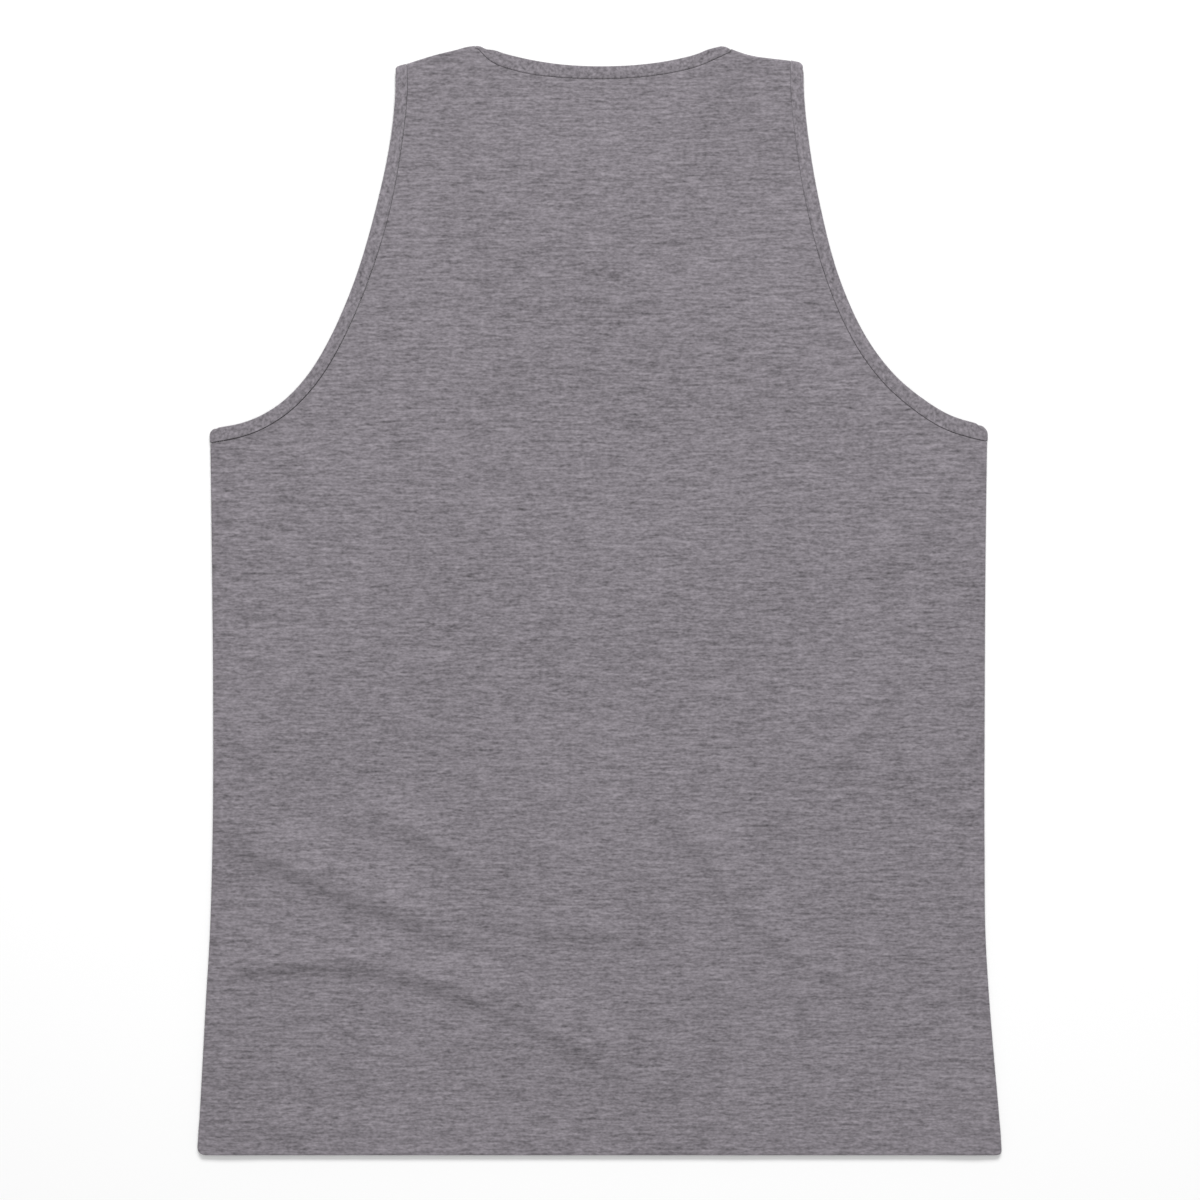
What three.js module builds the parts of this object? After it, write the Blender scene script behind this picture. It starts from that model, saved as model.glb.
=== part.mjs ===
import * as THREE from 'three';

// A sleeveless top laid flat with its back up and its front resting on z = 0.
// Millimetres: +X to the right, +Y towards the shoulders, +Z up.
// "up" is a height above the hem; the finished meshes are moved to centre on the origin.
const garmentLength = 725.6;

// Two layers of cloth, 1.9 apart, turning into each other round the sides and shoulders.
const cloth = { wall: 1.0, hemWall: 1.4, hemDepth: 20, hemEase: 8 };
const binding = { wall: 1.4, swing: { neck: 13, left: 20, right: 20 } };
const layerRise = 1.9;
const foldRadius = layerRise / 2;
const foldInset = foldRadius + (cloth.wall + binding.wall) / 4;
const seamGap = 0.3;
// Step between the end of a fold and the start of the seam beside it.
const seamStep = 0.1;

// Half widths of the outline on each side, from the hem to the underarm.
const sideRows = [
  { up: 0, left: 263.4, right: 262.7 },
  { up: 24, left: 262.0, right: 261.2 },
  { up: 62, left: 259.9, right: 257.9 },
  { up: 101, left: 257.8, right: 254.7 },
  { up: 141, left: 255.4, right: 252.3 },
  { up: 200, left: 253.6, right: 251.6 },
  { up: 298, left: 253.1, right: 251.7 },
  { up: 396, left: 254.0, right: 252.3 },
  { up: 480, left: 255.1, right: 253.4 },
];
const sideTop = sideRows[sideRows.length - 1].up;
const hemCorner = { left: 5, right: 3 };

// Free edge of each armhole of the back, from the underarm up the strap.
const underarmUp = { left: 474.8, right: 477.0 };
const armholeRows = [
  { up: 478.4, left: 234.6, right: 245.5 },
  { up: 483.5, left: 221.5, right: 229.2 },
  { up: 493.3, left: 206.6, right: 212.6 },
  { up: 509.8, left: 191.2, right: 192.8 },
  { up: 536.0, left: 175.5, right: 173.2 },
  { up: 575.4, left: 159.1, right: 155.7 },
  { up: 624.4, left: 145.1, right: 143.1 },
  { up: 663.6, left: 137.0, right: 136.4 },
  { up: 693.0, left: 133.9, right: 133.4 },
];
const strapEnd = { left: 133.8, right: 133.0 };
// The front is cut deeper, most in the middle of the armhole; a fullness under 1 widens that part.
const frontCut = { depth: 12, fullness: 0.6 };
// Radius that the free edge of an armhole binding rounds off with where it goes over a fold.
const cornerRound = {
  left: { underarm: 4.2, strap: 2.2 },
  right: { underarm: 6.2, strap: 3.6 },
};

// Top of the shoulders, outwards from the neck.
const shoulderRows = [
  { out: 66, left: 722.0, right: 724.6 },
  { out: 73, left: 723.9, right: 725.8 },
  { out: 80, left: 725.3, right: 725.9 },
  { out: 86, left: 724.7, right: 723.6 },
  { out: 94, left: 722.6, right: 720.2 },
  { out: 102, left: 720.7, right: 718.3 },
  { out: 110, left: 718.6, right: 717.2 },
  { out: 118, left: 716.1, right: 716.3 },
  { out: 126, left: 713.5, right: 715.2 },
  { out: 136, left: 710.4, right: 713.0 },
];

// Free edge of the neckline, left to right; the front is scooped lower than the back.
const neckEnd = { left: 73.6, right: 78.6 };
const backNeckRows = [
  { x: -68.6, up: 722.0 },
  { x: -62.8, up: 720.1 },
  { x: -47, up: 716.5 },
  { x: -24, up: 713.1 },
  { x: 0, up: 712.0 },
  { x: 24, up: 712.9 },
  { x: 47, up: 715.9 },
  { x: 62.8, up: 719.5 },
  { x: 70.6, up: 722.6 },
];
const frontNeckRows = [
  { x: -71.5, up: 696 },
  { x: -64, up: 668 },
  { x: -48, up: 643 },
  { x: -26, up: 629 },
  { x: 0, up: 624.5 },
  { x: 26, up: 629 },
  { x: 49, up: 643 },
  { x: 66, up: 668 },
  { x: 75, up: 696 },
];

// Width of the bindings: the neck's from left to right, an armhole's from the shoulder down.
const bandRows = [
  { share: 0, neck: 8.0, left: 8.0, right: 8.8 },
  { share: 0.17, neck: 9.0, left: 7.8, right: 8.5 },
  { share: 0.33, neck: 8.3, left: 9.2, right: 8.8 },
  { share: 0.5, neck: 7.9, left: 8.4, right: 8.3 },
  { share: 0.67, neck: 7.8, left: 7.9, right: 8.6 },
  { share: 0.83, neck: 7.6, left: 7.9, right: 9.3 },
  { share: 1, neck: 7.3, left: 9.1, right: 10.3 },
];
// From the end of a free edge to where the direction of the fold under the binding is read.
const bandMiddle = { neck: 3.5, strap: 4 };

// Soft ridges of the upper layer: crest line in three points, height of the crest,
// and how far the cloth slopes away on the shoulder side and on the hem side of it.
const creases = [
  { x1: -262, up1: 217, x2: -160, up2: 172, x3: -76, up3: 137, height: 3.4, above: 30, below: 16 },
  { x1: -166, up1: 236, x2: -120, up2: 211, x3: -56, up3: 176, height: 1.9, above: 20, below: 15 },
  { x1: -290, up1: 100, x2: -115, up2: 116, x3: 80, up3: 8, height: 3.0, above: 34, below: 16 },
  { x1: -56, up1: 146, x2: -4, up2: 147, x3: 50, up3: 134, height: 2.0, above: 20, below: 15 },
  { x1: 44, up1: 236, x2: 76, up2: 192, x3: 116, up3: 140, height: 2.3, above: 26, below: 16 },
  { x1: 94, up1: 160, x2: 134, up2: 131, x3: 184, up3: 100, height: 1.6, above: 20, below: 15 },
  { x1: 236, up1: 464, x2: 209, up2: 412, x3: 182, up3: 356, height: 1.8, above: 24, below: 18 },
  { x1: 200, up1: 326, x2: 181, up2: 288, x3: 158, up3: 242, height: 1.6, above: 22, below: 18 },
  { x1: -208, up1: 474, x2: -205, up2: 420, x3: -210, up3: 362, height: 1.3, above: 20, below: 18 },
  { x1: -262, up1: 22, x2: -205, up2: 19, x3: -104, up3: 18, height: 0.9, above: 18, below: 14 },
];
const creaseSteps = 14;
// Parts of its length over which a ridge fades in and out, and how far from a fold it is whole.
const creaseFade = { start: 0.26, end: 0.32, side: 20, shoulder: 12 };

// The upper layer stands highest a little inside the side folds: how high, up each side.
const swellRows = [
  { up: 0, left: 0.3, right: 0.4 },
  { up: 60, left: 0.9, right: 1.4 },
  { up: 140, left: 0.7, right: 1.2 },
  { up: 230, left: 0.9, right: 0.9 },
  { up: 300, left: 1.5, right: 0.7 },
  { up: 380, left: 1.4, right: 1.0 },
  { up: 440, left: 0.8, right: 1.3 },
  { up: 480, left: 0.3, right: 0.5 },
];
const swell = { crestIn: 15, flatFrom: 15, endIn: 46, topUp: 495, topEase: 50 };

// Where no front lies beneath, inside the scoop of the front neck, the back sinks to the surface.
const sink = { depth: 1.85, halfWidth: 70, reach: 100, ease: 34 };

// Rows of a panel's grid: close together where the creases lie, wider apart above them.
const creasedTo = 250;
const hemRows = [0, 0.8, 2.4, hemCorner.left];
const backGrid = { creasedRows: 23, plainRows: 10, shoulderColumns: 4, neckColumns: 24 };
const frontGrid = { creasedRows: 4, plainRows: 4, shoulderColumns: 2, neckColumns: 20 };
const armholeSteps = 19;
// How much closer together the rows stand at the underarm than at the shoulder.
const armholeCrowding = 0.45;
// Part of the panel's height by which its columns stand under their places at the top, and the
// power of the height by which its rows bow up to the line of the shoulders and the neck.
const neckBottom = 0.85;
const topBend = 4;
const slopeStep = 0.5;
const turnSteps = 6;
const rollAngles = [0, 30, 60, 90].map((degrees) => THREE.MathUtils.degToRad(degrees));

function easeBetween(value) {
  return THREE.MathUtils.smoothstep(value, 0, 1);
}

// Value of one column of a table at a place along its key, smooth through every row.
function tableValue(rows, key, column, at) {
  const last = rows.length - 1;
  let i = 0;
  while (i < last - 1 && at > rows[i + 1][key]) {
    i += 1;
  }
  const slope = (a, b) => (rows[b][column] - rows[a][column]) / (rows[b][key] - rows[a][key]);
  const span = rows[i + 1][key] - rows[i][key];
  const t = THREE.MathUtils.clamp((at - rows[i][key]) / span, 0, 1);
  const startSlope = slope(Math.max(i - 1, 0), i + 1) * span;
  const endSlope = slope(i, Math.min(i + 2, last)) * span;
  const start = rows[i][column];
  const end = rows[i + 1][column];
  return (2 * t ** 3 - 3 * t ** 2 + 1) * start + (t ** 3 - 2 * t ** 2 + t) * startSlope
    + (3 * t ** 2 - 2 * t ** 3) * end + (t ** 3 - t ** 2) * endSlope;
}

function sideName(x) {
  return x < 0 ? 'left' : 'right';
}

// How far a rounded corner draws in: a quarter circle, most at the tip.
function roundedInset(radius, fromTip) {
  const below = THREE.MathUtils.clamp(radius - fromTip, 0, radius);
  return radius - Math.sqrt(radius ** 2 - below ** 2);
}

// Distance from the middle to the axis of the side fold, in at the rounded hem corners.
function sideAxis(side, up) {
  return tableValue(sideRows, 'up', side, up) - foldInset - roundedInset(hemCorner[side], up);
}

// Height of the axis of the shoulder fold at a distance from the middle, and its slope.
function shoulderAxis(side, out) {
  return tableValue(shoulderRows, 'out', side, out) - foldInset;
}

function shoulderSlope(side, out) {
  return (shoulderAxis(side, out + slopeStep) - shoulderAxis(side, out - slopeStep)) / (2 * slopeStep);
}

// Thickness of a panel: the hem is turned up inside and thicker.
function wallAt(up) {
  const hem = easeBetween((cloth.hemDepth - up) / cloth.hemEase + 0.5);
  return THREE.MathUtils.lerp(cloth.wall, cloth.hemWall, hem);
}

const crestLines = creases.map((crease) => {
  const start = new THREE.Vector2(crease.x1, crease.up1);
  const through = new THREE.Vector2(crease.x2, crease.up2);
  const end = new THREE.Vector2(crease.x3, crease.up3);
  const control = through.multiplyScalar(2).addScaledVector(start, -0.5).addScaledVector(end, -0.5);
  return new THREE.QuadraticBezierCurve(start, control, end).getPoints(creaseSteps);
});

// Height that one ridge adds at a place: a rounded crest that fades out at both ends.
function creaseHeight(crease, line, x, up) {
  let nearest = { distance: Infinity, along: 0, offset: 0 };
  for (let i = 0; i < creaseSteps; i += 1) {
    const dx = line[i + 1].x - line[i].x;
    const dy = line[i + 1].y - line[i].y;
    const length = Math.hypot(dx, dy);
    const ahead = ((x - line[i].x) * dx + (up - line[i].y) * dy) / length;
    const t = THREE.MathUtils.clamp(ahead / length, 0, 1);
    const distance = Math.hypot(x - line[i].x - t * dx, up - line[i].y - t * dy);
    if (distance < nearest.distance) {
      const offset = (up - line[i].y) * dx - (x - line[i].x) * dy;
      nearest = { distance, along: (i + t) / creaseSteps, offset: offset * Math.sign(dx) };
    }
  }
  const reach = nearest.offset > 0 ? crease.above : crease.below;
  const across = Math.cos(Math.min(nearest.distance / reach, 1) * Math.PI) / 2 + 0.5;
  const fadeIn = easeBetween(nearest.along / creaseFade.start);
  const fadeOut = easeBetween((1 - nearest.along) / creaseFade.end);
  return crease.height * across * fadeIn * fadeOut;
}

// Height of the swell at a distance inside the side fold.
function swellHeight(side, inside, up) {
  const rising = easeBetween(inside / swell.crestIn);
  const falling = easeBetween((swell.endIn - inside) / (swell.endIn - swell.flatFrom));
  const underArm = easeBetween((swell.topUp - up) / swell.topEase);
  return tableValue(swellRows, 'up', side, up) * rising * falling * underArm;
}

// Rise of the upper layer above its flat level, nothing at the folds.
function relief(x, up) {
  const side = sideName(x);
  const out = Math.abs(x);
  const inside = sideAxis(side, Math.min(up, sideTop)) - out;
  const belowShoulder = shoulderAxis(side, Math.max(out, sink.halfWidth)) - up;
  const fromShoulder = out > sink.halfWidth ? easeBetween(belowShoulder / creaseFade.shoulder) : 1;
  const ridges = creases.reduce((sum, crease, i) => sum + creaseHeight(crease, crestLines[i], x, up), 0);
  const inScoop = 1 - Math.hypot(x / sink.halfWidth, (garmentLength - up) / sink.reach);
  const sunk = sink.depth * easeBetween((inScoop * sink.halfWidth) / sink.ease);
  return ridges * easeBetween(inside / creaseFade.side) * fromShoulder
    + swellHeight(side, inside, up) - sunk;
}

// Middle of the wall and its outward direction on one layer: the back faces up, the front down.
function layerPoint(layer, x, up, wall) {
  if (layer === 'front') {
    return { middle: new THREE.Vector3(x, up, wall / 2), facing: new THREE.Vector3(0, 0, -1) };
  }
  const slopeX = (relief(x + slopeStep, up) - relief(x - slopeStep, up)) / (2 * slopeStep);
  const slopeUp = (relief(x, up + slopeStep) - relief(x, up - slopeStep)) / (2 * slopeStep);
  const middle = new THREE.Vector3(x, up, layerRise + wall / 2 + relief(x, up));
  return { middle, facing: new THREE.Vector3(-slopeX, -slopeUp, 1).normalize() };
}

// The same on the roll of a fold; angle 90 is flat, 0 stands at the seam between the layers.
function rollPoint(layer, x, up, wall, outward, angle) {
  const turn = layer === 'back' ? 1 : -1;
  const rise = seamGap / 2 + (foldRadius - seamGap / 2) * Math.sin(angle);
  const middle = new THREE.Vector3(x, up, wall / 2 + foldRadius + turn * rise);
  middle.addScaledVector(outward, foldRadius * Math.cos(angle));
  const facing = outward.clone().multiplyScalar(Math.cos(angle));
  facing.z = turn * Math.sin(angle);
  return { middle, facing };
}

function mesh(name, points, triangles, color) {
  const geometry = new THREE.BufferGeometry();
  geometry.setAttribute('position', new THREE.Float32BufferAttribute(points.flatMap((p) => p.toArray()), 3));
  geometry.setIndex(triangles);
  geometry.translate(0, -garmentLength / 2, 0);
  const result = new THREE.Mesh(geometry, new THREE.MeshStandardMaterial({ color, roughness: 0.95 }));
  result.name = name;
  return result;
}

// A closed wall of cloth from a grid of middles: rows run up, columns run across to the right.
function clothWall(name, grid, layer, color) {
  const columns = grid[0].length;
  const rows = grid.length;
  const skin = (sign) => grid.flat().map(({ middle, facing, wall }) => (
    middle.clone().addScaledVector(facing, (sign * wall) / 2)));
  const upward = layer === 'back' ? 1 : -1;
  const points = [...skin(upward), ...skin(-upward)];
  const at = (row, column) => row * columns + column;
  const triangles = [];
  for (let row = 0; row < rows - 1; row += 1) {
    for (let column = 0; column < columns - 1; column += 1) {
      const corners = [at(row, column), at(row, column + 1), at(row + 1, column + 1), at(row + 1, column)];
      const [a, b, c, d] = corners;
      const [e, f, g, h] = corners.map((index) => index + rows * columns);
      triangles.push(a, b, c, a, c, d, e, g, f, e, h, g);
    }
  }
  const closeRim = (path) => {
    for (let i = 0; i < path.length - 1; i += 1) {
      const [a, b] = [path[i], path[i + 1]];
      const [c, d] = [a + rows * columns, b + rows * columns];
      triangles.push(a, c, d, a, d, b);
    }
  };
  const across = [...Array(columns).keys()];
  const along = [...Array(rows).keys()];
  closeRim(across.map((column) => at(0, column)));
  closeRim(along.map((row) => at(row, columns - 1)));
  closeRim(across.map((column) => at(rows - 1, column)).reverse());
  closeRim(along.map((row) => at(row, 0)).reverse());
  return mesh(name, points, triangles, color);
}

// Stations along the free edge of a binding. Each holds the plan points of the free edge, of the
// stitched edge and of the panel's edge; near a fold the width swings round to lie along it.
function bindingStations(band, edgePoints, steps, startDirection, endDirection, spacing) {
  const curve = new THREE.CatmullRomCurve3(edgePoints, false, 'centripetal');
  const swing = binding.swing[band] / curve.getLength();
  const stations = [];
  for (let i = 0; i <= steps; i += 1) {
    const t = spacing(i / steps);
    const edge = curve.getPointAt(t);
    const tangent = curve.getTangentAt(t);
    const across = new THREE.Vector3(tangent.y, -tangent.x, 0);
    across.lerp(startDirection, easeBetween(1 - t / swing));
    across.lerp(endDirection, easeBetween(1 - (1 - t) / swing)).normalize();
    const width = tableValue(bandRows, 'share', band, t);
    const seam = edge.clone().addScaledVector(across, width);
    const panelEdge = edge.clone().addScaledVector(across, width + seamGap);
    stations.push({ edge, seam, panelEdge });
  }
  return stations;
}

// Unit vectors along the shoulder fold away from the neck, and straight out of it.
function shoulderDirections(side, out) {
  const sign = side === 'left' ? -1 : 1;
  const slope = shoulderSlope(side, out);
  const along = new THREE.Vector3(sign, slope, 0).normalize();
  const outward = new THREE.Vector3(-sign * slope, 1, 0).normalize();
  return { along, outward };
}

function neckStations(rows, steps) {
  const end = (side) => {
    const x = side === 'left' ? -neckEnd.left : neckEnd.right;
    return new THREE.Vector3(x, shoulderAxis(side, neckEnd[side]), 0);
  };
  const direction = (side) => shoulderDirections(side, neckEnd[side] + bandMiddle.neck).along;
  const edgePoints = [end('left'), ...rows.map(({ x, up }) => new THREE.Vector3(x, up, 0)), end('right')];
  return bindingStations('neck', edgePoints, steps, direction('left'), direction('right'), (t) => t);
}

// Armhole stations run from the underarm up, with the cloth on their right hand for the right side.
function armholeStations(layer, side) {
  const sign = side === 'left' ? -1 : 1;
  const low = underarmUp[side];
  const edgePoints = [new THREE.Vector3(sideAxis(side, low), low, 0)];
  armholeRows.forEach((row) => {
    const hump = Math.sin((Math.PI * (row.up - low)) / (garmentLength - low));
    const cut = layer === 'front' ? frontCut.depth * hump ** frontCut.fullness : 0;
    edgePoints.push(new THREE.Vector3(row[side] - cut, row.up, 0));
  });
  edgePoints.push(new THREE.Vector3(strapEnd[side], shoulderAxis(side, strapEnd[side]), 0));
  const slope = shoulderSlope(side, strapEnd[side] - bandMiddle.strap);
  const inwards = new THREE.Vector3(-1, -slope, 0).normalize();
  const down = new THREE.Vector3(0, -1, 0);
  const spacing = (t) => 1 - (1 - t) * (1 - armholeCrowding * t);
  const stations = bindingStations(side, edgePoints.reverse(), armholeSteps, inwards, down, spacing);
  stations.forEach((station) => Object.values(station).forEach((point) => point.setX(point.x * sign)));
  return stations.reverse();
}

// Section of a binding: a flat strip, rounded along its free edge. "share" counts from there.
const bindingSection = [
  { share: 0, lift: 0 },
  { share: 0.02, lift: 0.62 },
  { share: 0.06, lift: 1 },
  { share: 0.35, lift: 1 },
  { share: 1, lift: 1 },
  { share: 1, lift: -1 },
  { share: 0.35, lift: -1 },
  { share: 0.06, lift: -1 },
  { share: 0.02, lift: -0.62 },
];

// Plan points of a section; each fold draws in the corner of the free edge that goes over it.
function sectionPlan(station, folds) {
  return bindingSection.map(({ share, lift }) => {
    const plan = station.edge.clone().lerp(station.seam, share);
    const fromEdge = plan.distanceTo(station.edge);
    folds.forEach(({ outward, round, at }) => {
      const fromFold = at.clone().sub(plan).dot(outward);
      const fade = THREE.MathUtils.clamp(1 - fromFold / round, 0, 1);
      plan.addScaledVector(outward, -roundedInset(round, fromEdge + seamStep) * fade);
    });
    return { plan, lift };
  });
}

function flatSection(layer, section) {
  return section.map(({ plan, lift }) => {
    const { middle, facing } = layerPoint(layer, plan.x, plan.y, binding.wall);
    return middle.addScaledVector(facing, (lift * binding.wall) / 2);
  });
}

function turnSections(section, outward) {
  const sections = [];
  for (let i = 1; i < turnSteps; i += 1) {
    const angle = (Math.PI * i) / turnSteps;
    const facing = outward.clone().multiplyScalar(Math.sin(angle)).setZ(Math.cos(angle));
    sections.push(section.map(({ plan, lift }) => {
      const axis = plan.clone().setZ(binding.wall / 2 + foldRadius);
      return axis.addScaledVector(facing, foldRadius + (lift * binding.wall) / 2);
    }));
  }
  return sections;
}

// A closed strip: along the back, over one fold, along the front and over the other fold.
function bindingRing(name, back, front, endFold, startFold, color, flip) {
  const last = back.length - 1;
  const folds = [{ ...endFold, at: back[last].edge }, { ...startFold, at: back[0].edge }];
  const rounded = folds.filter(({ round }) => round > 0);
  const sections = [
    ...back.map((station) => flatSection('back', sectionPlan(station, rounded))),
    ...turnSections(sectionPlan(back[last], rounded), endFold.outward),
    ...[...front].reverse().map((station) => flatSection('front', sectionPlan(station, rounded))),
    ...turnSections(sectionPlan(back[0], rounded), startFold.outward).reverse(),
  ];
  const width = bindingSection.length;
  const triangles = [];
  sections.forEach((section, i) => {
    const next = (i + 1) % sections.length;
    for (let j = 0; j < width; j += 1) {
      const k = (j + 1) % width;
      const [a, b, c, d] = [i * width + j, next * width + j, next * width + k, i * width + k];
      triangles.push(...(flip ? [a, c, b, a, d, c] : [a, b, c, a, c, d]));
    }
  });
  return mesh(name, sections.flat(), triangles, color);
}

// Heights of a panel's rows below the armholes.
function sideHeights(size, seamUp) {
  const ups = [...hemRows];
  const addRows = (from, to, count) => {
    for (let i = 1; i <= count; i += 1) {
      ups.push(THREE.MathUtils.lerp(from, to, i / count));
    }
  };
  addRows(hemRows[hemRows.length - 1], creasedTo, size.creasedRows);
  addRows(creasedTo, seamUp, size.plainRows);
  return ups;
}

// A panel between its side folds, armhole seams, shoulder folds and neck seam.
function panel(name, layer, size, neck, armholes, color) {
  const strip = rollAngles.length - 1;
  const seamUp = armholes.right[0].panelEdge.y;
  const sideUps = sideHeights(size, seamUp);
  const boundary = (side) => {
    const sign = side === 'left' ? -1 : 1;
    const seam = armholes[side].map(({ panelEdge }) => ({ x: panelEdge.x, up: panelEdge.y }));
    const scale = seam[0].up / seamUp;
    return [...sideUps.map((up) => ({ x: sign * sideAxis(side, up * scale), up: up * scale })),
      { x: seam[0].x, up: seam[0].up + seamStep }, ...seam.slice(1)];
  };
  const left = boundary('left');
  const right = boundary('right');
  const lastRow = left.length - 1;

  const top = [];
  const shoulderPart = (side, from, to) => {
    for (let i = 0; i <= size.shoulderColumns; i += 1) {
      const x = THREE.MathUtils.lerp(from, to, i / size.shoulderColumns);
      const { outward } = shoulderDirections(side, Math.abs(x));
      top.push({ x, up: shoulderAxis(side, Math.abs(x)), outward });
    }
  };
  const neckSeam = neck.map(({ panelEdge }) => ({ x: panelEdge.x, up: panelEdge.y }));
  const [firstNeck, lastNeck] = [neckSeam[0], neckSeam[neckSeam.length - 1]];
  shoulderPart('left', left[lastRow].x + foldRadius, firstNeck.x);
  top.push({ x: firstNeck.x + seamStep, up: firstNeck.up - seamStep / 2 });
  top.push(...neckSeam.slice(1, -1));
  top.push({ x: lastNeck.x - seamStep, up: lastNeck.up - seamStep / 2 });
  shoulderPart('right', lastNeck.x, right[lastRow].x - foldRadius);
  const [firstTop, lastTop] = [top[0], top[top.length - 1]];
  // Place of a column in a row near the shoulders: straight below the neck, spread in the straps.
  const underTop = (x, from, to) => {
    const leftShare = Math.max((firstNeck.x - x) / (firstNeck.x - firstTop.x), 0);
    const rightShare = Math.max((x - lastNeck.x) / (lastTop.x - lastNeck.x), 0);
    return x + leftShare * (from - firstTop.x) + rightShare * (to - lastTop.x);
  };

  const grid = [];
  for (let row = 0; row <= lastRow; row += 1) {
    const folded = row < sideUps.length;
    const inset = folded ? 0 : foldRadius;
    const [from, to] = [left[row].x + inset, right[row].x - inset];
    const height = left[row].up / left[lastRow].up;
    const cells = top.map((corner, column) => {
      const even = THREE.MathUtils.lerp(from, to, column / (top.length - 1));
      const x = THREE.MathUtils.lerp(even, underTop(corner.x, from, to), easeBetween(height / neckBottom));
      const share = (x - from) / (to - from);
      const chord = THREE.MathUtils.lerp(left[lastRow].up, right[lastRow].up, share);
      const edgeUp = corner.outward ? corner.up : corner.up - foldRadius;
      const level = THREE.MathUtils.lerp(left[row].up, right[row].up, share);
      return { x, up: level + height ** topBend * (edgeUp - chord) };
    });
    const wall = wallAt(left[row].up);
    const middle = cells.map(({ x, up }) => ({ ...layerPoint(layer, x, up, wall), wall }));
    const edge = (sign, end) => rollAngles.slice(0, strip).map((angle, k) => {
      if (folded) {
        const outward = new THREE.Vector3(sign, 0, 0);
        return { ...rollPoint(layer, end.x, end.up, wall, outward, angle), wall };
      }
      return { ...layerPoint(layer, end.x - (sign * foldRadius * k) / strip, end.up, wall), wall };
    });
    grid.push([...edge(-1, left[row]), ...middle, ...edge(1, right[row]).reverse()]);
  }

  for (let k = strip - 1; k >= 0; k -= 1) {
    const wall = cloth.wall;
    const rolled = (x) => {
      const side = sideName(x);
      const { outward } = shoulderDirections(side, Math.abs(x));
      return { ...rollPoint(layer, x, shoulderAxis(side, Math.abs(x)), wall, outward, rollAngles[k]), wall };
    };
    const middle = top.map(({ x, up, outward }) => (outward ? rolled(x)
      : { ...layerPoint(layer, x, up - (foldRadius * k) / strip, wall), wall }));
    const ends = (sign, end) => rollAngles.slice(0, strip).map((angle, i) => (
      rolled(end.x - (sign * foldRadius * i) / strip)));
    grid.push([...ends(-1, left[lastRow]), ...middle, ...ends(1, right[lastRow]).reverse()]);
  }
  return clothWall(name, grid, layer, color);
}

const colors = { cloth: 0x7d787e, binding: 0x7b767c };
const backNeck = neckStations(backNeckRows, backGrid.neckColumns);
const frontNeck = neckStations(frontNeckRows, frontGrid.neckColumns);
const backArmholes = { left: armholeStations('back', 'left'), right: armholeStations('back', 'right') };
const frontArmholes = { left: armholeStations('front', 'left'), right: armholeStations('front', 'right') };

const group = new THREE.Group();
group.name = 'tank_top';
group.add(panel('front_panel', 'front', frontGrid, frontNeck, frontArmholes, colors.cloth));
group.add(panel('back_panel', 'back', backGrid, backNeck, backArmholes, colors.cloth));
const neckFold = (side) => {
  const { outward } = shoulderDirections(side, neckEnd[side] + bandMiddle.neck);
  return { outward, round: 0 };
};
group.add(bindingRing('neck_band', backNeck, frontNeck, neckFold('right'), neckFold('left'), colors.binding, true));
['left', 'right'].forEach((side) => {
  const { outward } = shoulderDirections(side, strapEnd[side] - bandMiddle.strap);
  const strapFold = { outward, round: cornerRound[side].strap };
  const sideways = new THREE.Vector3(side === 'left' ? -1 : 1, 0, 0);
  const sideFold = { outward: sideways, round: cornerRound[side].underarm };
  group.add(bindingRing(`armhole_band_${side}`, backArmholes[side], frontArmholes[side],
    strapFold, sideFold, colors.binding, side === 'left'));
});

export default group;
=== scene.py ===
import bpy
import numpy as np
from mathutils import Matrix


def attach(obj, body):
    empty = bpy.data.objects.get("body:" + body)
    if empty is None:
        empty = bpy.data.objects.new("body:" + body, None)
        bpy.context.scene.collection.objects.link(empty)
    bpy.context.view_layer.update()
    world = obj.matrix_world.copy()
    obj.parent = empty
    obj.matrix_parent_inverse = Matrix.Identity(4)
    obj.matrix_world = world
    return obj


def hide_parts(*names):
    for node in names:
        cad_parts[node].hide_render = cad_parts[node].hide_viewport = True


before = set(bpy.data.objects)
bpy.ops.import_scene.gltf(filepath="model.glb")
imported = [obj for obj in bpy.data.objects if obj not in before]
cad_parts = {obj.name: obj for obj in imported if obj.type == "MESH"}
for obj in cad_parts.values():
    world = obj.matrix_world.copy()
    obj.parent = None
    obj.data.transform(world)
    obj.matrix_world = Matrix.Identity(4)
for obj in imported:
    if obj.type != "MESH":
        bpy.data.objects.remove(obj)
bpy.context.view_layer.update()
print("frame loaded with nodes", ", ".join(sorted(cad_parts)))

mm = 0.001

# Millimetres. "up" counts from the hem, x from the middle; the frame's origin is half way up.
garment = {
    "length": 725.6,
    "layerRise": 1.9,        # from one layer of cloth to the one above it
    "wall": 1.0,
    "hemWall": 1.4,
    "hemDepth": 20,
    "hemEase": 8,
    "foldInset": 1.55,       # from the outline to the axis that a fold turns about
    "sideSeamGap": 0.08,
    "hemCorner": {"left": 5, "right": 3},
    "thinnestEdge": 0.1,     # thickness left at a rounded cut edge, as a share of the wall
    "cellSize": 2.7,
    "shoulderCells": 26,
    "spreadBelow": 0.85,     # share of the height under which the columns are evenly spread
    "topBend": 4,            # power by which the rows take on the shape of the top
}
foldRadius = garment["layerRise"] / 2
foldAngles = np.radians(np.linspace(0, 90, 7))
cutSteps = np.array([0, 0.04, 0.14, 0.3, 0.5, 0.72, foldRadius])       # columns in from a cut edge
hemSteps = np.array([0, 0.05, 0.2, 0.45, 0.8, 1.4, 2.3, 3.5, 5])       # rows up from the hem
seamStart = {"in": 0.05, "up": 0.05, "down": 0.03}     # small steps off a fold where a seam begins

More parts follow.
